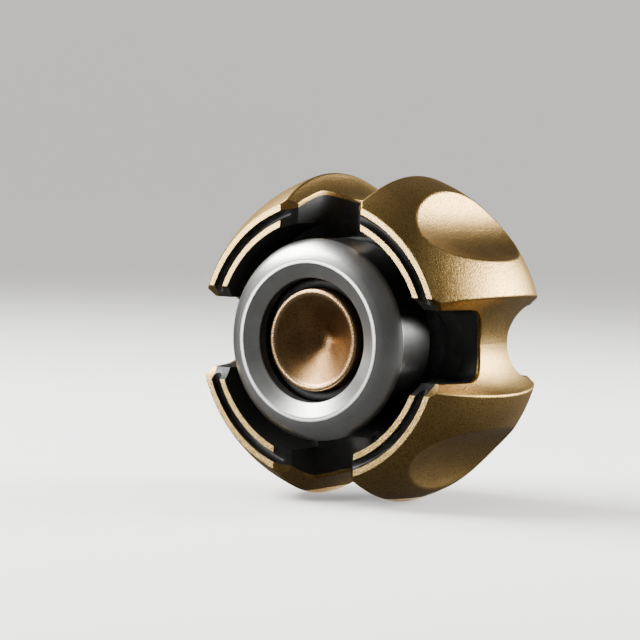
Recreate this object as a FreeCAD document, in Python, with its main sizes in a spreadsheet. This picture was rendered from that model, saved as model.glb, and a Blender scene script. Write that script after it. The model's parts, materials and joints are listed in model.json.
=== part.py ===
import FreeCAD, Part
import math
import os
import Sketcher

# A palm-sized fidget spinner: a bronze ball-shaped rotor with four lobes turns on a small
# ball bearing between two steel finger buttons, each with a dished bronze cap.
#
# Frame: millimetres, +Z up, the spin axis along Y, the origin at the centre of the ball.
# The front looks along -Y. The lobes stand at 45, 135, 225 and 315 degrees round the axis,
# and the channels between them at 0, 90, 180 and 270 degrees.

SIZES = {
    # shell: the lobed outer body
    "face_y": 10.0,               # front and rear faces of the ribs, from the middle
    "face_radius": 13.75,         # outer edge of the ribs
    "ball_radius": 16.8,          # largest radius, at the middle
    "bore_radius": 11.66,         # inner edge of the ribs, and the bore
    "groove_inner": 12.28,
    "groove_middle": 12.70,
    "groove_outer": 13.12,
    "groove_wall_y": 9.35,        # where the straight walls of the groove end
    "groove_floor_y": 8.80,
    "inlay_edge_y": 9.45,
    "inlay_middle_y": 9.08,
    # channels: round-bottomed scallops between the lobes
    "face_section": 5.28,         # radius of the channel's section across the faces
    "face_centre_y": 12.5,        # height of its centre line there
    "sweep_section": 5.67,        # radius of the section over the outside
    "sweep_radius": 26.95,        # radius of its centre line there
    "sweep_shift": 7.74,          # how far that radius's centre lies past the spin axis
    "sweep_angle": 100,           # the part of the full turn that the cutter needs
    # windows: notches from each face through the channel floors, deeper from the front
    "window_front_y": 1.75,
    "window_rear_y": 4.3,
    "window_half_width": 3.5,
    "window_corner": 3.1,
    # thumb dimples on the lobes
    "dimple_depth": 2.25,
    "dimple_along": 24.0,         # semi-axes of the ellipsoid that scoops the dimple
    "dimple_across": 6.6,
    "dimple_deep": 6.0,
    "dimple_edge": 0.5,           # edge roundings: dimple rims, lobes, windows, ribs
    "lobe_edge": 0.25,
    "window_edge": 0.2,
    "rim_edge": 0.12,
    "rib_edge": 0.06,             # small chamfers on the ribs and the groove's mouth
    "reach": 40.0,                # length of cutters that run right through
    "margin": 1.0,                # how far the other cutters stand past the piece
    # carrier: the dark ring that holds the bearing in the shell
    "carrier_y": 4.0,
    "carrier_web_y": 3.2,
    "carrier_hub": 7.7,
    "carrier_rim": 9.9,
    "clip_groove_radius": 6.8,
    "clip_far_y": 3.08,
    "clip_inner": 5.75,
    "clip_outer": 6.75,
    "clip_gap": 3.0,
    # ball bearing, 6.35 x 12.7 x 4.762
    "bearing_bore": 3.175,
    "bearing_outer": 6.35,
    "bearing_y": 2.381,
    "inner_shoulder": 4.10,
    "outer_shoulder": 5.45,
    "ball_pitch": 4.7625,
    "ball_size": 0.794,
    "race_section": 0.824,
    "cage_inner": 4.56,
    "cage_outer": 4.98,
    "cage_open_y": 0.5,
    "cage_back_y": 1.25,
    "cage_pocket": 0.83,
    "shield_inner": 4.35,
    "shield_near_y": 1.90,
    "shield_far_y": 2.10,
    "shield_seat": 5.70,
    "shield_clip_inner": 5.35,
    "shield_clip_far_y": 2.30,
    # axle, spacers, buttons and caps: the hub between the fingers
    "axle_y": 8.3,
    "axle_bore": 2.05,
    "spacer_radius": 4.3,
    "button_back_y": 4.8,
    "button_back_radius": 9.55,
    "button_corner_y": 5.0,
    "button_radius": 9.8,
    "button_edge_y": 9.85,
    "dome_radius": 9.0,
    "dome_y": 11.05,
    "button_rounding": 0.12,
    "crest_outer": 7.85,
    "crest_inner": 7.45,
    "crest_y": 11.68,
    "chamfer_inner": 6.03,
    "chamfer_y": 10.97,
    "pocket_y": 8.5,
    "cup_radius": 5.0,
    "cup_side_y": 10.55,
    "cup_rim_middle": 4.70,
    "cup_rim_y": 10.70,
    "cap_rounding": 0.1,
    "cup_mouth": 4.375,
    "cup_mouth_y": 10.60,
    "cup_bend": 0.89,             # where the dish's cone meets its rounded bottom
    "cup_bend_y": 8.051,
    "cup_bend_middle": 0.50,
    "cup_bend_middle_y": 7.845,
    "cup_flat": 0.12,
    "cup_bottom_y": 7.764,
    "stud_radius": 2.0,
    "stud_end_y": 5.2,
    "seal_pitch": 5.515,
    "seal_section": 0.5,
    "seal_y": 9.0,
}
BALL_COUNT = 10
LOBES = 4
SHARP = 20                        # degrees between two faces that make an edge worth rounding
SIDES = ("front", "rear")

X = FreeCAD.Vector(1, 0, 0)
Y = FreeCAD.Vector(0, 1, 0)
Z = FreeCAD.Vector(0, 0, 1)
ORIGIN = FreeCAD.Vector(0, 0, 0)

doc = FreeCAD.newDocument("fidget_spinner")
sheet = doc.addObject("Spreadsheet::Sheet", "sizes")
for row, (alias, size) in enumerate(SIZES.items(), start=1):
    sheet.set(f"A{row}", alias)
    sheet.set(f"B{row}", str(size))
    sheet.setAlias(f"B{row}", alias)
doc.recompute()


# ---- sizes written as sums of sheet names, such as "ball_radius - dimple_depth" ----

def value(formula):
    """The number that a sum of sheet names stands for."""
    total, sign = 0.0, 1.0
    for word in formula.split():
        if word in ("+", "-"):
            sign = 1.0 if word == "+" else -1.0
        else:
            total += sign * (SIZES[word] if word in SIZES else float(word))
            sign = 1.0
    return total


def expression(formula):
    """The same sum as an expression on the sheet."""
    return " ".join(f"sizes.{word}" if word in SIZES else word for word in formula.split())


def bind(thing, **formulas):
    """Bind a feature's properties to sums of sheet names."""
    for name, formula in formulas.items():
        thing.setExpression(name, expression(formula))


# ---- building blocks ----

def place(sketch, geometry, position, radius, y):
    """Hold one sketch point at a radius and a height along the spin axis."""
    for kind, formula, axis in (("DistanceX", radius, -2), ("DistanceY", y, -1)):
        if value(formula) == 0:
            sketch.addConstraint(Sketcher.Constraint("PointOnObject", geometry, position, axis))
            continue
        constraint = Sketcher.Constraint(kind, -1, 1, geometry, position, value(formula))
        index = sketch.addConstraint(constraint)
        sketch.setExpression(f"Constraints[{index}]", expression(formula))


def turned(name, outline):
    """A body turned about Y from (radius, y) corners; ("arc", radius, y) bends the edge
    that runs from the corner before it to the corner after it through that point."""
    body = doc.addObject("PartDesign::Body", name)
    sketch = body.newObject("Sketcher::SketchObject", f"{name}_outline")
    plane = next(p for p in body.Origin.OriginFeatures if p.Role == "XY_Plane")
    sketch.AttachmentSupport = (plane, [""])
    sketch.MapMode = "FlatFace"
    corners = [entry for entry in outline if entry[0] != "arc"]
    bends = {}
    for index, entry in enumerate(outline):
        if entry[0] == "arc":
            bends[corners.index(outline[index - 1])] = entry[1:]
    points = [FreeCAD.Vector(value(radius), value(y), 0) for radius, y in corners]
    edges = []
    for index, start in enumerate(points):
        end = points[(index + 1) % len(points)]
        if index in bends:
            middle = FreeCAD.Vector(*[value(formula) for formula in bends[index]], 0)
            edge = sketch.addGeometry(Part.Arc(start, middle, end), False)
            knot = sketch.addGeometry(Part.Point(middle), True)
            place(sketch, knot, 1, *bends[index])
            sketch.addConstraint(Sketcher.Constraint("PointOnObject", knot, 1, edge))
        else:
            edge = sketch.addGeometry(Part.LineSegment(start, end), False)
        clockwise = index in bends and (middle - start).cross(end - middle).z < 0
        first, last = (2, 1) if clockwise else (1, 2)
        edges.append((edge, first, last))
    for index, (edge, first, last) in enumerate(edges):
        following = edges[(index + 1) % len(edges)]
        joint = Sketcher.Constraint("Coincident", edge, last, following[0], following[1])
        sketch.addConstraint(joint)
        place(sketch, edge, first, *corners[index])
    turning = body.newObject("PartDesign::Revolution", f"{name}_turning")
    turning.Profile = sketch
    turning.ReferenceAxis = (sketch, ["V_Axis"])
    turning.Angle = 360
    sketch.Visibility = False
    body.Tip = turning
    return body


def ring(name, outer, inner, near, far):
    """A plain turned ring between two heights along the spin axis."""
    return turned(name, [(inner, near), (outer, near), (outer, far), (inner, far)])


def torus(name, pitch, section, centre=ORIGIN, axis=Y):
    feature = doc.addObject("Part::Torus", name)
    bind(feature, Radius1=pitch, Radius2=section)
    feature.Placement = FreeCAD.Placement(centre, FreeCAD.Rotation(Z, axis))
    return feature


def cut(name, base, tool):
    feature = doc.addObject("Part::Cut", name)
    feature.Base = base
    feature.Tool = tool
    return feature


def carved(name, base, tools):
    """Cut the tools from the base one after another."""
    for index, tool in enumerate(tools[:-1]):
        base = cut(f"{name}_{index}", base, tool)
    return cut(name, base, tools[-1])


def sharp_edges(shape):
    """Each edge whose two faces turn by more than SHARP, with those faces."""
    for index, edge in enumerate(shape.Edges, start=1):
        faces = shape.ancestorsOfType(edge, Part.Face)
        if len(faces) != 2:
            continue
        middle = edge.valueAt((edge.FirstParameter + edge.LastParameter) / 2)
        normals = [side.normalAt(*side.Surface.parameter(middle)) for side in faces]
        if math.degrees(normals[0].getAngle(normals[1])) > SHARP:
            yield index, edge, [side.Surface.TypeId for side in faces]


def rounded(name, base, radius_of):
    """Round the sharp edges that radius_of gives a sheet name for."""
    doc.recompute()
    feature = doc.addObject("Part::Fillet", name)
    feature.Base = base
    chosen = []
    for index, edge, kinds in sharp_edges(base.Shape):
        size = radius_of(edge, kinds)
        if size:
            chosen.append((index, value(size), value(size)))
    feature.Edges = chosen
    return feature


def face(side, feature):
    """Turn a piece made for the rear round to the front, if its side is the front."""
    if side == "front":
        feature.Placement = FreeCAD.Placement(ORIGIN, FreeCAD.Rotation(Z, 180))
    return feature


# ---- cutters shared by the shell and the parts inside it ----

def channel_cutters():
    """Round-bottomed channels: straight across both faces, and an arc over the outside."""
    pieces = []
    for turn in range(LOBES):
        outwards = FreeCAD.Rotation(Y, 90 * turn)
        sweep = torus(f"channel_{turn}", "sweep_radius", "sweep_section")
        bind(sweep, Angle3="sweep_angle")
        shift = outwards.multVec(X) * -value("sweep_shift")
        middle = FreeCAD.Rotation(Z, -value("sweep_angle") / 2)
        sweep.Placement = FreeCAD.Placement(shift, outwards.multiply(middle))
        pieces.append(sweep)
    for axis_name, axis in (("x", X), ("z", Z)):
        for sign in (-1, 1):
            straight = doc.addObject("Part::Cylinder", f"channel_{axis_name}_{sign + 1}")
            bind(straight, Radius="face_section", Height="reach")
            start = Y * (sign * value("face_centre_y")) - axis * (value("reach") / 2)
            straight.Placement = FreeCAD.Placement(start, FreeCAD.Rotation(Z, axis))
            pieces.append(straight)
    return pieces


def window_cutters():
    """Bars with two rounded edges, sunk from each face and crossing behind it."""
    pieces = []
    for side, turn_to_face in (("front", 180), ("rear", 0)):
        floor_y = f"window_{side}_y"
        for axis_name, turn in (("x", 0), ("z", 90)):
            name = f"window_{side}_{axis_name}"
            bar = doc.addObject("Part::Box", f"{name}_bar")
            bind(bar, Length="reach", Width=f"face_centre_y - {floor_y}",
                 Height="window_half_width + window_half_width")
            doc.recompute()
            floor = [index for index, edge in enumerate(bar.Shape.Edges, start=1)
                     if edge.BoundBox.XLength > value("margin") > edge.BoundBox.YMax]
            notch = doc.addObject("Part::Fillet", name)
            notch.Base = bar
            radius = value("window_corner")
            notch.Edges = [(index, radius, radius) for index in floor]
            corner = FreeCAD.Vector(-value("reach") / 2, value(floor_y),
                                    -value("window_half_width"))
            rear = FreeCAD.Placement(corner, FreeCAD.Rotation())
            spin = FreeCAD.Placement(ORIGIN, FreeCAD.Rotation(Y, turn))
            flip = FreeCAD.Placement(ORIGIN, FreeCAD.Rotation(Z, turn_to_face))
            notch.Placement = spin.multiply(flip).multiply(rear)
            pieces.append(notch)
    return pieces


def dimple_cutters():
    """One long ellipsoid over the middle of each lobe."""
    pieces = []
    distance = value("ball_radius - dimple_depth + dimple_deep")
    for lobe in range(LOBES):
        scoop = doc.addObject("Part::Ellipsoid", f"dimple_{lobe}")
        bind(scoop, Radius1="dimple_across", Radius2="dimple_deep", Radius3="dimple_along")
        turn = FreeCAD.Rotation(Y, 45 + 90 * lobe)
        scoop.Placement = FreeCAD.Placement(turn.multVec(X) * distance, turn)
        pieces.append(scoop)
    return pieces


def groove(side):
    cutter = turned(f"{side}_groove", [
        ("groove_inner - rib_edge", "face_y"), ("groove_inner", "face_y - rib_edge"),
        ("groove_inner", "groove_wall_y"), ("arc", "groove_middle", "groove_floor_y"),
        ("groove_outer", "groove_wall_y"), ("groove_outer", "face_y - rib_edge"),
        ("groove_outer + rib_edge", "face_y"), ("groove_outer + rib_edge", "face_y + margin"),
        ("groove_inner - rib_edge", "face_y + margin")])
    return face(side, cutter)


# ---- the rotor ----

def outside_edge(edge, kinds):
    """Roundings on the ball's surface: soft dimple rims, and small ones on lobes and ribs."""
    if "Part::GeomSurfaceOfRevolution" not in kinds:
        return None
    if "Part::GeomBSplineSurface" in kinds:
        return "dimple_edge"
    along_channel = edge.BoundBox.YLength > value("face_y")
    return "lobe_edge" if along_channel else "rim_edge"


def window_edge(edge, kinds):
    """The windows' outlines on the channel floors outside the ribs."""
    centre = edge.CenterOfMass
    outside = math.hypot(centre.x, centre.z) > value("groove_outer - window_edge")
    across = min(abs(centre.x), abs(centre.z)) < value("window_half_width + rib_edge")
    behind_face = abs(centre.y) < value("face_y - margin")
    one_side = value("dimple_edge") < edge.Length < value("face_section")
    return "window_edge" if outside and across and behind_face and one_side else None


def shell(channels, windows, dimples, grooves):
    blank = turned("shell_blank", [
        ("bore_radius + rib_edge", "- face_y"), ("face_radius", "- face_y"),
        ("arc", "ball_radius", "0"),
        ("face_radius", "face_y"), ("bore_radius + rib_edge", "face_y"),
        ("bore_radius", "face_y - rib_edge"), ("bore_radius", "- face_y + rib_edge")])
    lobed = rounded("shell_lobes", carved("shell_carved", blank, channels + dimples),
                    outside_edge)
    windowed = rounded("shell_windows", carved("shell_open", lobed, windows), window_edge)
    return carved("shell", windowed, grooves)


def inlay(side, channels, windows):
    """The dark lining in the bottom of the groove, one length on each lobe."""
    full = turned(f"{side}_inlay_ring", [
        ("groove_inner", "inlay_edge_y"), ("groove_inner", "groove_wall_y"),
        ("arc", "groove_middle", "groove_floor_y"),
        ("groove_outer", "groove_wall_y"), ("groove_outer", "inlay_edge_y"),
        ("arc", "groove_middle", "inlay_middle_y")])
    return carved(f"{side}_groove_inlay", face(side, full), channels + windows)


def carrier(windows):
    half = [("bore_radius", "carrier_y"), ("carrier_rim", "carrier_y"),
            ("carrier_rim", "carrier_web_y"), ("carrier_hub", "carrier_web_y"),
            ("carrier_hub", "carrier_y"), ("bearing_outer", "carrier_y"),
            ("bearing_outer", "clip_far_y"), ("clip_groove_radius", "clip_far_y"),
            ("clip_groove_radius", "bearing_y"), ("bearing_outer", "bearing_y")]
    mirrored = [(radius, f"- {y}") for radius, y in reversed(half)]
    blank = turned("carrier_blank", half + mirrored)
    plug = doc.addObject("Part::Cylinder", "carrier_plug")
    bind(plug, Radius="carrier_rim", Height="reach")
    start = Y * (-value("reach") / 2)
    plug.Placement = FreeCAD.Placement(start, FreeCAD.Rotation(Z, Y))
    notches = [cut(f"carrier_notch_{index}", window, plug)
               for index, window in enumerate(windows)]
    return carved("carrier", blank, notches)


def retaining_ring(side):
    """A circlip with a gap, in the carrier's groove beside the bearing."""
    full = ring(f"{side}_clip_ring", "clip_outer", "clip_inner", "bearing_y", "clip_far_y")
    gap = doc.addObject("Part::Box", f"{side}_clip_gap")
    bind(gap, Length="clip_gap", Width="clip_far_y", Height="clip_outer + margin")
    corner = FreeCAD.Vector(-value("clip_gap") / 2, value("bearing_y - margin"), 0)
    gap.Placement = FreeCAD.Placement(corner, FreeCAD.Rotation())
    return face(side, cut(f"{side}_retaining_ring", full, gap))


# ---- the bearing ----

def race(name, seat, shoulder):
    """An inner or outer race: a ring with the round raceway cut in it."""
    blank = ring(f"{name}_ring", seat, shoulder, "- bearing_y", "bearing_y")
    return cut(name, blank, torus(f"{name}_raceway", "ball_pitch", "race_section"))


def outer_race():
    """The outer race also has a step each side that seats the shield."""
    half = [("outer_shoulder", "shield_near_y"), ("shield_seat", "shield_near_y"),
            ("shield_seat", "bearing_y"), ("bearing_outer", "bearing_y")]
    mirrored = [(radius, f"- {y}") for radius, y in reversed(half)]
    blank = turned("outer_race_ring", half + mirrored)
    raceway = torus("outer_raceway", "ball_pitch", "race_section")
    return cut("bearing_outer_race", blank, raceway)


def ball_places():
    for index in range(BALL_COUNT):
        turn = FreeCAD.Rotation(Y, 360 * index / BALL_COUNT)
        yield FreeCAD.Placement(turn.multVec(Z) * value("ball_pitch"), turn)


def spheres(name, radius):
    """One sphere at each ball's place."""
    pieces = []
    for index, position in enumerate(ball_places()):
        sphere = doc.addObject("Part::Sphere", f"{name}_{index}")
        bind(sphere, Radius=radius)
        sphere.Placement = position
        pieces.append(sphere)
    return pieces


def balls():
    group = doc.addObject("Part::Compound", "bearing_balls")
    group.Links = spheres("ball", "ball_size")
    return group


def cage():
    blank = ring("cage_ring", "cage_outer", "cage_inner", "- cage_open_y", "cage_back_y")
    return carved("bearing_cage", blank, spheres("pocket", "cage_pocket"))


def shield(side):
    return face(side, ring(f"{side}_bearing_shield", "shield_seat", "shield_inner",
                           "shield_near_y", "shield_far_y"))


def shield_clip(side):
    """The thin wire ring that snaps in over the shield."""
    return face(side, ring(f"{side}_shield_clip", "shield_seat", "shield_clip_inner",
                           "shield_far_y", "shield_clip_far_y"))


# ---- the hub that the fingers hold ----

def axle():
    return ring("axle", "bearing_bore", "axle_bore", "- axle_y", "axle_y")


def spacer(side):
    return face(side, ring(f"{side}_spacer", "spacer_radius", "bearing_bore",
                           "bearing_y", "button_back_y"))


def button_edge(edge, kinds):
    """All the button's outer edges, and not those at its bore."""
    outside_bore = edge.BoundBox.XMax > value("bearing_bore + margin")
    return "button_rounding" if outside_bore else None


def button(side):
    blank = turned(f"{side}_button_blank", [
        ("bearing_bore", "button_back_y"), ("button_back_radius", "button_back_y"),
        ("button_radius", "button_corner_y"), ("button_radius", "button_edge_y"),
        ("arc", "dome_radius", "dome_y"),
        ("crest_outer", "crest_y"), ("crest_inner", "crest_y"),
        ("chamfer_inner", "chamfer_y"), ("chamfer_inner", "pocket_y"),
        ("bearing_bore", "pocket_y")])
    return face(side, rounded(f"{side}_button", blank, button_edge))


def cap_edge(edge, kinds):
    """The two edges of the cap's rim."""
    return "cap_rounding" if edge.BoundBox.YMin > value("cup_side_y - margin") else None


def cap(side):
    """The dished bronze cap, with the stud that screws it into the axle."""
    blank = turned(f"{side}_cap_blank", [
        ("0", "stud_end_y"), ("stud_radius", "stud_end_y"), ("stud_radius", "pocket_y"),
        ("cup_radius", "pocket_y"), ("cup_radius", "cup_side_y"),
        ("arc", "cup_rim_middle", "cup_rim_y"),
        ("cup_mouth", "cup_mouth_y"), ("cup_bend", "cup_bend_y"),
        ("arc", "cup_bend_middle", "cup_bend_middle_y"), ("cup_flat", "cup_bottom_y"),
        ("0", "cup_bottom_y")])
    return face(side, rounded(f"{side}_cap", blank, cap_edge))


def seal(side):
    """The rubber ring that centres the cap in the button and keeps it from unscrewing."""
    centre = Y * (value("seal_y") * (-1 if side == "front" else 1))
    return torus(f"{side}_o_ring", "seal_pitch", "seal_section", centre)


# ---- build, check and write ----

def build():
    channels = channel_cutters()
    windows = window_cutters()
    dimples = dimple_cutters()
    grooves = [groove(side) for side in SIDES]
    parts = [shell(channels, windows, dimples, grooves), carrier(windows), outer_race(),
             race("bearing_inner_race", "inner_shoulder", "bearing_bore"),
             balls(), cage(), axle()]
    for side in SIDES:
        parts += [inlay(side, channels, windows), retaining_ring(side), shield(side),
                  shield_clip(side), spacer(side), button(side), cap(side), seal(side)]
    return parts


def check(parts):
    for feature in doc.Objects:
        if "Invalid" in feature.State or "Error" in feature.State:
            raise RuntimeError(f"{feature.Name} failed: {feature.State}")
    for part in parts:
        if part.Shape.isNull() or not part.Shape.isValid():
            raise RuntimeError(f"{part.Label} has no valid shape")
        box = part.Shape.BoundBox
        print(f"{part.Label:24s} {len(part.Shape.Solids):2d} solids  {part.Shape.Volume:9.2f} mm3"
              f"  x {box.XMin:7.2f} {box.XMax:7.2f}  y {box.YMin:7.2f} {box.YMax:7.2f}"
              f"  z {box.ZMin:7.2f} {box.ZMax:7.2f}")


parts = build()
doc.recompute()
check(parts)
os.makedirs("parts", exist_ok=True)
for part in parts:
    part.Shape.exportStep(f"parts/{part.Label}.step")
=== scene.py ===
# %% [markdown]
# # A ball-shaped fidget spinner
#
# The spinner is turned and milled metal, so its pieces keep the shapes that the design gave
# them and this script dresses them: every finish is a small procedural material, the ring of
# bearing balls is made again with Geometry Nodes, and a plain studio goes round it. Lengths
# are metres, the spin axis lies along Y and the front faces -Y.

# %% Load the frame
import json
import math

import bpy
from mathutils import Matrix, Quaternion, Vector


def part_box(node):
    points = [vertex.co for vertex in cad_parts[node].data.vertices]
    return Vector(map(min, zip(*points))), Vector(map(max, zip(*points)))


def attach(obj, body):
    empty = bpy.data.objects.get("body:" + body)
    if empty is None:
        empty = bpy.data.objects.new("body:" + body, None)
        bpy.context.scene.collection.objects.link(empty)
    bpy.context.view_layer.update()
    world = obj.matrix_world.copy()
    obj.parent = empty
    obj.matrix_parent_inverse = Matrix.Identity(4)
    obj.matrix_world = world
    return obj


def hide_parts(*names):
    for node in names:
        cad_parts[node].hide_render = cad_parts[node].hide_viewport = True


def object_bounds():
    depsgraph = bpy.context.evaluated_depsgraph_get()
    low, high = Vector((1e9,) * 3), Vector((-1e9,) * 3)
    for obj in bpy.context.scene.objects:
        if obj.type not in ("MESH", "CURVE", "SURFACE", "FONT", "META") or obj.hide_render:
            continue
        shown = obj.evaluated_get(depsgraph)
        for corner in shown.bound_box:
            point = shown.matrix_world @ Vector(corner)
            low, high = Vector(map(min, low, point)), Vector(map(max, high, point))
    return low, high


MM = 0.001
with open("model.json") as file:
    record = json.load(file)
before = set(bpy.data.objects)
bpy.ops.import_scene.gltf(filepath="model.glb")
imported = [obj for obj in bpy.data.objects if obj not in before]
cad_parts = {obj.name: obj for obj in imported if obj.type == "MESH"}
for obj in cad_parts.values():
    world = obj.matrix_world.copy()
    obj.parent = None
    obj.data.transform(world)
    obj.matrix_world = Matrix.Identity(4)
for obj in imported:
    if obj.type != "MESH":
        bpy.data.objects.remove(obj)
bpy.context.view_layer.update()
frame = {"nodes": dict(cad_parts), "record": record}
nodes = frame["nodes"]
print("pieces in the frame:", len(nodes))


# %% [markdown]
# ## Writing shader maths as Python
#
# Wiring Math nodes by hand hides the formula. One small class wraps a socket and turns
# `a * 2 - b` into the nodes that work it out, and one method adds every other kind of node.

# %% A value in a shader tree
class Value:
    """A socket of a shader tree that Python's operators work on."""

    def __init__(self, shader, socket):
        self.shader = shader
        self.socket = socket

    def math(self, operation, *others):
        return self.shader.add("ShaderNodeMath", {"operation": operation},
                               dict(enumerate((self,) + others)))

    def __add__(self, other):
        return self.math("ADD", other)

    def __sub__(self, other):
        return self.math("SUBTRACT", other)

    def __rsub__(self, other):
        return self.shader.add("ShaderNodeMath", {"operation": "SUBTRACT"}, {0: other, 1: self})

    def __mul__(self, other):
        return self.math("MULTIPLY", other)

    def __pow__(self, other):
        return self.math("POWER", other)

    __radd__ = __add__
    __rmul__ = __mul__

    def __abs__(self):
        return self.math("ABSOLUTE")

    def root(self):
        """The square root."""
        return self.math("SQRT")

    def least(self, other):
        return self.math("MINIMUM", other)

    def most(self, other):
        return self.math("MAXIMUM", other)

    def rise(self, start, end):
        """0 below start and 1 above end, with a smooth step between, or falling if end < start."""
        if end < start:
            return 1 - self.rise(end, start)
        return self.shader.add("ShaderNodeMapRange", {"interpolation_type": "SMOOTHSTEP"},
                               {"Value": self, "From Min": start, "From Max": end})


# %% A material's shader tree
class Shader:
    """A material, and the one method that adds nodes to it."""

    def __init__(self, name):
        self.material = bpy.data.materials.new(name)
        self.material.use_nodes = True
        self.tree = self.material.node_tree
        self.tree.nodes.clear()

    def add(self, kind, settings=None, inputs=None, output=0):
        """Add a node: its settings first, then the values or links of its sockets."""
        node = self.tree.nodes.new(kind)
        for name, setting in (settings or {}).items():
            setattr(node, name, setting)
        for name, given in (inputs or {}).items():
            if isinstance(given, Value):
                self.tree.links.new(given.socket, node.inputs[name])
            else:
                node.inputs[name].default_value = given
        return Value(self, node.outputs[output]) if node.outputs else None

    def place(self):
        """The point on the surface, in the object's own metres: (vector, x, y, z)."""
        point = self.add("ShaderNodeTexCoord", output="Object")
        parts = [self.add("ShaderNodeSeparateXYZ", None, {0: point}, axis) for axis in "XYZ"]
        return (point, *parts)

    def noise(self, point, size, detail=2.0, roughness=0.5):
        """Cloudy noise whose blotches are about this many metres across."""
        return self.add("ShaderNodeTexNoise", None, {
            "Vector": point, "Scale": 1 / size, "Detail": detail, "Roughness": roughness})

    def mix(self, amount, first, second):
        """A colour between two."""
        colours = {6: first, 7: second}
        for index, colour in colours.items():
            if not isinstance(colour, Value):
                colours[index] = (*colour, 1)
        return self.add("ShaderNodeMix", {"data_type": "RGBA"}, {0: amount, **colours}, 2)

    def bump(self, height, depth):
        """A normal that leans as if the surface rose by depth metres where height is 1."""
        return self.add("ShaderNodeBump", None,
                        {"Height": height, "Distance": depth, "Strength": 1.0})

    def metal(self, **sockets):
        """The finished surface. Names use _ for a space, as in Base_Color."""
        named = {}
        for name, given in sockets.items():
            flat = isinstance(given, tuple)
            named[name.replace("_", " ")] = (*given, 1) if flat else given
        surface = self.add("ShaderNodeBsdfPrincipled", None, named)
        self.add("ShaderNodeOutputMaterial", None, {"Surface": surface})
        return self.material


# %% [markdown]
# ## Where on the body a point lies
#
# A milled part is finished by region: the outside is blasted, the recesses are coloured near black,
# and the ribs' faces are smoother and carry a painted highlight. The regions could be painted
# by hand on an unwrapped mesh, but here the material works them out, from the sizes that cut the
# shell. Every mask comes from four numbers: the distance from the spin axis, the distance from the
# mid-plane, and, seen from the nearest channel, the distances sideways and outwards.

# %% Sizes that cut the shell
face_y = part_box("shell")[1].y
BORE = 11.66 * MM               # inner wall of the ribs
GROOVE_INNER = 12.28 * MM       # the groove between the two ribs of a lobe
GROOVE_OUTER = 13.12 * MM
GROOVE_FLOOR = 8.8 * MM
WINDOW_HALF = 3.5 * MM          # the windows' walls stand this far from a channel's middle
FACE_SECTION = 5.28 * MM        # radius of the channels where they cross the ribs,
FACE_CENTRE = 12.5 * MM         # and the height of their centre line there
SWEEP_SECTION = 5.67 * MM       # the same over the outside, where the centre line is an arc
SWEEP_RADIUS = 26.95 * MM
SWEEP_SHIFT = 7.74 * MM         # whose centre lies this far past the spin axis
print("ribs end at", round(face_y / MM, 2), "mm")


# %% Region masks of the shell
def body_place(shader):
    """The point, its radius and its height from the mid-plane, then its distance sideways
    from the nearest channel's middle and outwards along that channel's direction."""
    point, x, y, z = shader.place()
    radius = (x * x + z * z).root()
    return point, radius, abs(y), abs(x).least(abs(z)), abs(x).most(abs(z))


def dark_recess_mask(radius, height, sideways, outwards):
    """1 on the bore, in the groove, on the windows' walls and on the ribs' ends, else 0."""
    below_face = height.rise(face_y - 0.02 * MM, face_y - 0.05 * MM)
    bore = radius.rise(BORE + 0.08 * MM, BORE + 0.05 * MM)
    middle, half = (GROOVE_INNER + GROOVE_OUTER) / 2, (GROOVE_OUTER - GROOVE_INNER) / 2
    groove = abs(radius - middle).rise(half + 0.05 * MM, half + 0.02 * MM)
    groove = groove * height.rise(GROOVE_FLOOR - 0.2 * MM, GROOVE_FLOOR - 0.1 * MM)
    reach = ((outwards + SWEEP_SHIFT) ** 2 + height ** 2).root()
    depth = ((SWEEP_RADIUS - reach) ** 2 + sideways ** 2).root() - SWEEP_SECTION
    wall = sideways.rise(WINDOW_HALF + 0.08 * MM, WINDOW_HALF + 0.04 * MM)
    wall = wall * depth.rise(0.24 * MM, 0.34 * MM)
    to_centre = ((FACE_CENTRE - height) ** 2 + sideways ** 2).root()
    end = to_centre.rise(FACE_SECTION + 0.04 * MM, FACE_SECTION + 0.01 * MM)
    end = end * radius.rise(GROOVE_OUTER + 0.12 * MM, GROOVE_OUTER)
    return (bore.most(groove).most(end) * below_face).most(wall)


# %% [markdown]
# ## Bead-blasted bronze
#
# Blasting leaves a fine, even grain of dents a tenth of a millimetre or two across. A large
# faint cloud shows where hands have warmed the colour. The ribs' flat faces are smoother, with
# the grain nearly gone, and their lighter colour is a painted highlight. A painted map could do
# the same, but a sum of noises keeps its scale true to the size of the piece.

# %% Bronze for the lobed shell
def bronze_finish():
    shader = Shader("bronze")
    point, radius, height, sideways, outwards = body_place(shader)
    grain = shader.noise(point, 0.17 * MM, 3.0, 0.6)
    fine = shader.noise(point, 0.08 * MM, 1.0)
    cloud = shader.noise(point, 7 * MM, 3.0)
    black = dark_recess_mask(radius, height, sideways, outwards)
    rib = height.rise(face_y - 0.04 * MM, face_y - 0.01 * MM)
    tone = shader.mix(cloud.rise(0.35, 0.7), (0.51, 0.32, 0.10), (0.62, 0.40, 0.135))
    tone = shader.mix(grain.rise(0.48, 0.66) * 0.75, tone, (0.20, 0.105, 0.028))
    # Painted highlight: the ribs' faces are coloured a lighter gold than the rest.
    tone = shader.mix(rib * 0.85, tone, (0.80, 0.54, 0.20))
    # The bore, the groove, the windows' walls and the ribs' ends are coloured near black.
    near_black = shader.mix(cloud, (0.016, 0.016, 0.015), (0.032, 0.032, 0.030))
    height_map = grain * (1 - rib * 0.8) + fine * 0.4
    rough = 0.34 + (grain - 0.5) * 0.22 + (cloud - 0.5) * 0.08 - rib * 0.12
    return shader.metal(
        Base_Color=shader.mix(black, tone, near_black), Metallic=1 - black * 0.35,
        Roughness=rough + black * 0.08, Normal=shader.bump(height_map, 0.035 * MM))


finishes = {"bronze": bronze_finish()}
print("bronze:", len(finishes["bronze"].node_tree.nodes), "nodes")


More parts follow.
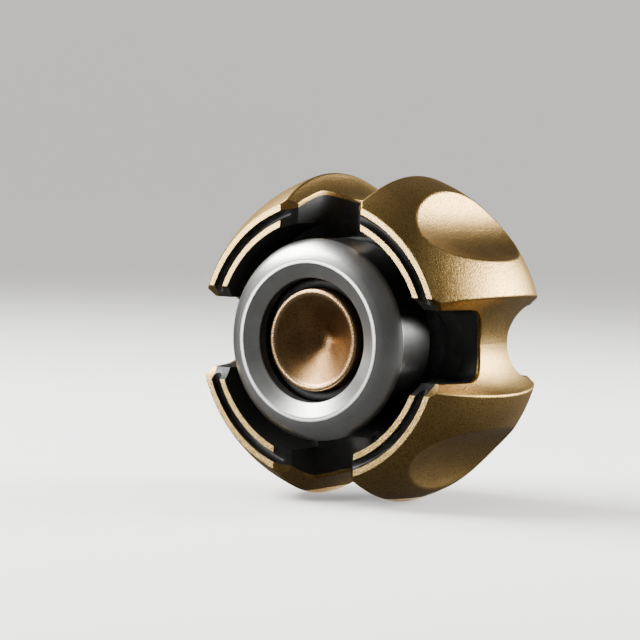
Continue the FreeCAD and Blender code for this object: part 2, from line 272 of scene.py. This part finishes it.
# %% [markdown]
# ## Turned metal
#
# A lathe tool leaves rings round the axis. Noise that is stretched round the axis, by feeding
# it only the radius and the height, gives rings of uneven depth; they bend the highlight into
# the bow tie that a dished cap shows.

# %% The cap's bronze
CAP_SIDE = 5.0 * MM             # radius of the cap's side wall
CAP_RIM = 4.3 * MM              # radius at which the dish gives way to the rim


def turned_rings(shader, radius, along, pitch):
    """Rings round the spin axis, about pitch metres apart."""
    track = shader.add("ShaderNodeCombineXYZ", None, {0: radius, 1: along, 2: 0.0})
    return shader.noise(track, pitch, 2.0, 0.7)


def cap_finish():
    shader = Shader("cap_bronze")
    point, x, y, z = shader.place()
    radius = (x * x + z * z).root()
    rings = turned_rings(shader, radius, y, 0.09 * MM)
    grain = shader.noise(point, 0.17 * MM, 3.0, 0.65)
    cloud = shader.noise(point, 2.2 * MM, 3.0)
    rim = radius.rise(CAP_RIM - 0.1 * MM, CAP_RIM + 0.1 * MM)
    side = radius.rise(CAP_SIDE - 0.12 * MM, CAP_SIDE - 0.04 * MM)
    tone = shader.mix(cloud.rise(0.3, 0.7), (0.30, 0.165, 0.065), (0.40, 0.235, 0.10))
    tone = shader.mix(grain.rise(0.48, 0.66) * 0.65, tone, (0.11, 0.052, 0.017))
    # Painted highlight: the rim is coloured a lighter bronze.
    tone = shader.mix(rim * 0.8, tone, (0.66, 0.42, 0.21))
    # Painted shade: the side wall is coloured a near-black bronze.
    tone = shader.mix(side * 0.85, tone, (0.07, 0.04, 0.018))
    return shader.metal(
        Base_Color=tone, Metallic=1.0,
        Roughness=0.34 + (grain - 0.5) * 0.22 - rim * 0.06 + side * 0.15,
        Normal=shader.bump((rings * 0.5 + grain * (1 - rim * 0.5)) * (1 - side), 0.035 * MM))


finishes["cap_bronze"] = cap_finish()
print("cap bronze:", len(finishes["cap_bronze"].node_tree.nodes), "nodes")

# %% The button's steel
CREST = 7.65 * MM               # radius of the button's crest
BUTTON_EDGE = 9.85 * MM         # height at which its dome meets its side wall


def button_finish():
    """Satin steel, with painted shade on the side wall and round the crest, and a painted highlight
    on the crest.
    """
    shader = Shader("satin_steel")
    point, x, y, z = shader.place()
    radius = (x * x + z * z).root()
    rings = turned_rings(shader, radius, y, 0.06 * MM)
    broad = turned_rings(shader, radius, y, 0.35 * MM)
    grain = shader.noise(point, 0.1 * MM, 2.0, 0.6)
    cloud = shader.noise(point, 4 * MM, 4.0, 0.6)
    crest = abs(radius - CREST).rise(0.28 * MM, 0.20 * MM)
    line = abs(radius - CREST).rise(0.13 * MM, 0.05 * MM)
    side = abs(y).rise(BUTTON_EDGE + 0.15 * MM, BUTTON_EDGE - 0.15 * MM)
    tone = shader.mix(cloud.rise(0.3, 0.75), (0.58, 0.58, 0.555), (0.70, 0.70, 0.67))
    tone = shader.mix(grain.rise(0.5, 0.75) * 0.35, tone, (0.36, 0.36, 0.345))
    # Painted shade: a darker band round the crest, which narrows its highlight.
    tone = shader.mix(crest * 0.6, tone, (0.20, 0.20, 0.19))
    # Painted highlight: a thin bright line along the crest.
    tone = shader.mix(line, tone, (0.95, 0.94, 0.91))
    # Painted shade: the side wall is coloured near black.
    tone = shader.mix(side * 0.85, tone, (0.06, 0.06, 0.057))
    return shader.metal(
        Base_Color=tone, Metallic=1.0,
        Roughness=0.31 + (broad - 0.5) * 0.08 + (cloud - 0.5) * 0.08 + (grain - 0.5) * 0.1,
        Normal=shader.bump(rings * 0.5 + grain * 0.6, 0.008 * MM))


finishes["steel"] = button_finish()
print("steel:", len(finishes["steel"].node_tree.nodes), "nodes")


# %% [markdown]
# ## The plainer finishes
#
# Inside, each metal needs only its own colour, a little variation and the mark of how it was
# made. They share one recipe with different numbers.

# %% Plain metals and rubber
def plain_finish(name, light, dark, metallic, roughness, grain_size, depth):
    """One tone that drifts between two, with a grain that is depth metres deep."""
    shader = Shader(name)
    point = shader.place()[0]
    grain = shader.noise(point, grain_size, 3.0, 0.6)
    cloud = shader.noise(point, grain_size * 20, 2.0)
    finishes[name] = shader.metal(
        Base_Color=shader.mix(cloud.rise(0.3, 0.7), dark, light), Metallic=metallic,
        Roughness=roughness + (grain - 0.5) * 0.12, Normal=shader.bump(grain, depth))


plain_finish("blackened_steel", light=(0.045, 0.045, 0.044), dark=(0.022, 0.022, 0.021),
             metallic=0.7, roughness=0.36, grain_size=0.12 * MM, depth=0.006 * MM)
plain_finish("plain_steel", light=(0.55, 0.54, 0.52), dark=(0.42, 0.41, 0.40),
             metallic=1.0, roughness=0.34, grain_size=0.1 * MM, depth=0.005 * MM)
plain_finish("bearing_steel", light=(0.72, 0.72, 0.73), dark=(0.62, 0.62, 0.63),
             metallic=1.0, roughness=0.12, grain_size=0.3 * MM, depth=0.001 * MM)
plain_finish("cage_brass", light=(0.78, 0.60, 0.28), dark=(0.62, 0.45, 0.20),
             metallic=1.0, roughness=0.3, grain_size=0.12 * MM, depth=0.004 * MM)
plain_finish("rubber", light=(0.022, 0.022, 0.023), dark=(0.012, 0.012, 0.012),
             metallic=0.0, roughness=0.6, grain_size=0.08 * MM, depth=0.006 * MM)
print("finishes:", ", ".join(sorted(finishes)))

# %% [markdown]
# ## Dressing the pieces
#
# Each piece says which finish it is given, under the name of a material slot. A real piece has
# one finish all over, or, like the shell, one material that knows its own regions, so one slot
# a piece is enough.

# %% Give each piece its finish
for entry in frame["record"]["subparts"]:
    mesh = nodes[entry["node"]].data
    mesh.materials.clear()
    mesh.materials.append(finishes[entry["material_slot"]])
    print(entry["node"], "is", entry["material_slot"])


# %% [markdown]
# ## The ring of bearing balls
#
# Ten balls run in the bearing, each 1.588 mm across, on a circle of 4.76 mm radius. Copies on
# a circle are what Geometry Nodes are for: a circle gives the places, and one smooth sphere is
# put on each. Modelling one ball and an array would do too, but here the count, the pitch and
# the size stay inputs that can be changed in one place. The tree ends in real geometry,
# because instances are lost when the model is exported.

# %% A node tree that sets spheres on a circle
def ball_ring_tree(material):
    """Inputs: Count, Pitch and Radius. Output: the spheres as one mesh."""
    tree = bpy.data.node_groups.new("ball_ring", "GeometryNodeTree")
    tree.interface.new_socket("Geometry", in_out="OUTPUT", socket_type="NodeSocketGeometry")
    tree.interface.new_socket("Count", in_out="INPUT", socket_type="NodeSocketInt")
    for name in ("Pitch", "Radius"):
        tree.interface.new_socket(name, in_out="INPUT", socket_type="NodeSocketFloat")
    kinds = {"given": "NodeGroupInput", "result": "NodeGroupOutput",
             "circle": "GeometryNodeMeshCircle", "upright": "GeometryNodeTransform",
             "sphere": "GeometryNodeMeshIcoSphere", "copies": "GeometryNodeInstanceOnPoints",
             "real": "GeometryNodeRealizeInstances", "smooth": "GeometryNodeSetShadeSmooth",
             "finish": "GeometryNodeSetMaterial"}
    made = {name: tree.nodes.new(kind) for name, kind in kinds.items()}
    made["sphere"].inputs["Subdivisions"].default_value = 4
    made["upright"].inputs["Rotation"].default_value = (math.pi / 2, 0, 0)
    made["finish"].inputs["Material"].default_value = material
    for start, output, end, socket in (
            ("given", "Count", "circle", "Vertices"), ("given", "Pitch", "circle", "Radius"),
            ("given", "Radius", "sphere", "Radius"), ("circle", "Mesh", "upright", "Geometry"),
            ("upright", "Geometry", "copies", "Points"), ("sphere", "Mesh", "copies", "Instance"),
            ("copies", "Instances", "real", "Geometry"), ("real", "Geometry", "smooth", 0),
            ("smooth", 0, "finish", "Geometry"), ("finish", "Geometry", "result", 0)):
        tree.links.new(made[start].outputs[output], made[end].inputs[socket])
    return tree


ball_tree = ball_ring_tree(finishes["bearing_steel"])
print("ball ring tree:", len(ball_tree.nodes), "nodes")


# %% The balls themselves
BALL_COUNT = 10
BALL_PITCH = 4.7625 * MM        # radius of the circle that their centres lie on


def made_by_nodes(name, tree, **inputs):
    """A plain mesh object with the geometry that a node tree makes from these inputs."""
    scaffold = bpy.data.objects.new(name, bpy.data.meshes.new(name))
    bpy.context.scene.collection.objects.link(scaffold)
    modifier = scaffold.modifiers.new("nodes", "NODES")
    modifier.node_group = tree
    for socket in tree.interface.items_tree:
        if socket.in_out == "INPUT":
            modifier[socket.identifier] = inputs[socket.name]
    evaluated = scaffold.evaluated_get(bpy.context.evaluated_depsgraph_get())
    mesh = bpy.data.meshes.new_from_object(evaluated)
    scaffold.modifiers.remove(modifier)
    scaffold.data = mesh
    return scaffold


low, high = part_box("bearing_balls")
ball_radius = (high.y - low.y) / 2
balls = made_by_nodes("bearing_ball_ring", ball_tree,
                      Count=BALL_COUNT, Pitch=BALL_PITCH, Radius=ball_radius)
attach(balls, "ball_set")
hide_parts("bearing_balls")
print("bearing balls:", len(balls.data.polygons), "faces, radius", round(ball_radius / MM, 3), "mm")

# %% [markdown]
# ## The studio's floor
#
# A pale round floor that curves up on every side gives a background with no horizon, from
# wherever it is seen. It could be a plane with a wall behind, but a turned outline has no
# corner to hide. It glows a little, as a wall does in a light room, so that its far side isn't
# darker than the floor.

# %% The floor and backdrop
floor_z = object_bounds()[0][2]


def stage_object(name, points, faces, material):
    """A smooth mesh that stands round the object and isn't part of it."""
    mesh = bpy.data.meshes.new(name)
    mesh.from_pydata(points, [], faces)
    mesh.polygons.foreach_set("use_smooth", [True] * len(faces))
    mesh.materials.append(material)
    scenery = bpy.data.objects.new(name, mesh)
    bpy.context.scene.collection.objects.link(scenery)
    return scenery


def turned_surface(outline, steps=96):
    """Points and faces of an outline of (radius, height) turned round the vertical."""
    points, faces = [], []
    for radius, rise in outline:
        for step in range(steps):
            angle = 2 * math.pi * step / steps
            points.append((radius * math.cos(angle), radius * math.sin(angle), floor_z + rise))
    for row in range(len(outline) - 1):
        for step in range(steps):
            here, beside = row * steps + step, row * steps + (step + 1) % steps
            faces.append((here, beside, beside + steps, here + steps))
    return points, faces


def sweep():
    """A pale round floor that curves up into a low backdrop on every side."""
    flat, bend, top, glow, steps = 1.0, 0.35, 0.75, 0.3, 16
    outline = [(0, 0), (flat, 0)]
    for step in range(1, steps + 1):
        angle = math.pi / 2 * step / steps
        outline.append((flat + bend * math.sin(angle), bend * (1 - math.cos(angle))))
    outline.append((flat + bend, top))
    shader = Shader("pale_sweep")
    tone = shader.noise(shader.place()[0], 0.4, 2.0)
    material = shader.metal(
        Base_Color=shader.mix(tone, (0.60, 0.59, 0.57), (0.63, 0.62, 0.60)), Roughness=0.7,
        Emission_Color=(1.0, 0.99, 0.97), Emission_Strength=glow)
    return stage_object("sweep", *turned_surface(outline), material)


ground = sweep()
print("floor:", len(ground.data.polygons), "faces")

# %% [markdown]
# ## Dark cards
#
# Metal shows only what it mirrors, and in a pale room it would be pale all over. A product
# studio stands black cards round it, just out of view, so that its edges and hollows turn
# dark. Here one dome of card does that, over a sheet of it on the floor, and only reflections
# see it, so the floor stays pale.

# %% The cards
def cards():
    """A nearly black dome and floor, all round the object, that only reflections see."""
    far, close, dim, steps = 0.40, 0.0005, 0.07, 12
    shader = Shader("dark_card")
    material = shader.metal(Base_Color=(0, 0, 0), Roughness=0.9,
                            Emission_Color=(1, 1, 1), Emission_Strength=dim)
    material.cycles.emission_sampling = "NONE"
    outline = [(0, close), (far, close)]
    for step in range(1, steps):
        angle = math.pi / 2 * step / steps
        outline.append((far * math.cos(angle), far * math.sin(angle)))
    outline.append((0, far))
    card = stage_object("cards", *turned_surface(outline), material)
    card.visible_camera = False
    card.visible_diffuse = False
    card.visible_shadow = False
    return card


print("cards:", len(cards().data.polygons), "faces")

# %% [markdown]
# ## The lights
#
# A soft panel behind to the right draws the lobes' bright sides, one high at the left draws the
# steel's dome and the dish, and a low one at the front left lights the ribs' faces. A wide one
# overhead evens the floor, and reaches nothing else, by light linking.

# %% Lights
def softbox(name, azimuth, elevation, distance, width, height, watts, spread=180):
    """A rectangular light seen from the object at this azimuth (0 is in front, 90 at the
    right) and elevation, turned to face the object, with a beam this many degrees wide."""
    turn, lift = math.radians(azimuth), math.radians(elevation)
    outwards = Vector((math.sin(turn) * math.cos(lift), -math.cos(turn) * math.cos(lift),
                       math.sin(lift)))
    light = bpy.data.lights.new(name, "AREA")
    light.shape = "RECTANGLE"
    light.size, light.size_y = width, height
    light.energy = watts
    light.spread = math.radians(spread)
    lamp = bpy.data.objects.new(name, light)
    lamp.location = outwards * distance
    lamp.rotation_euler = outwards.to_track_quat("Z", "Y").to_euler()
    bpy.context.scene.collection.objects.link(lamp)
    return lamp


# Each line: azimuth and elevation, distance, width and height, watts, and the beam's width.
softbox("key", 141, 17, 0.32, 0.20, 0.12, 0.95, 120)
softbox("dome", -71, 44, 0.32, 0.30, 0.15, 1.7, 120)
softbox("ribs", -36, 8, 0.30, 0.10, 0.07, 0.05, 60)
overhead = softbox("room", 0, 89.9, 1.50, 1.60, 1.60, 17.0)
floor_only = bpy.data.collections.new("ground")
floor_only.objects.link(ground)
overhead.light_linking.receiver_collection = floor_only
world = bpy.data.worlds.new("studio")
bpy.context.scene.world = world
world.use_nodes = True
sky = world.node_tree.nodes["Background"]
sky.inputs["Color"].default_value = (0.9, 0.93, 1.0, 1)
sky.inputs["Strength"].default_value = 0.03
print("lights:", ", ".join(light.name for light in bpy.data.lights))


# %% [markdown]
# ## The camera
#
# A long lens a quarter of a metre away, a third of the way round to the right and just above
# the table, turned by a degree or two as it is when held by hand.

# %% Camera
CAMERA_AZIMUTH = 33.3
CAMERA_ELEVATION = 3.5
CAMERA_ROLL = 1.7
CAMERA_DISTANCE = 0.275
LENS = 160.0                    # on a sensor 36 mm wide
AIM_RIGHT = 0.3 * MM            # where it points, from the middle of the front face
AIM_UP = 1.93 * MM


def camera():
    turn, lift = math.radians(CAMERA_AZIMUTH), math.radians(CAMERA_ELEVATION)
    back = Vector((math.sin(turn) * math.cos(lift), -math.cos(turn) * math.cos(lift),
                   math.sin(lift)))
    right = Vector((math.cos(turn), math.sin(turn), 0))
    up = back.cross(right)
    aim = Vector((0, -face_y, 0)) + right * AIM_RIGHT + up * AIM_UP
    data = bpy.data.cameras.new("camera")
    data.lens = LENS
    data.sensor_width = 36
    data.clip_start = 0.01
    shot = bpy.data.objects.new("camera", data)
    shot.location = aim + back * CAMERA_DISTANCE
    shot.rotation_mode = "QUATERNION"
    roll = Quaternion(back, math.radians(CAMERA_ROLL))
    shot.rotation_quaternion = roll @ back.to_track_quat("Z", "Y")
    bpy.context.scene.collection.objects.link(shot)
    bpy.context.scene.camera = shot
    print("camera at", [round(place, 3) for place in shot.location])


camera()
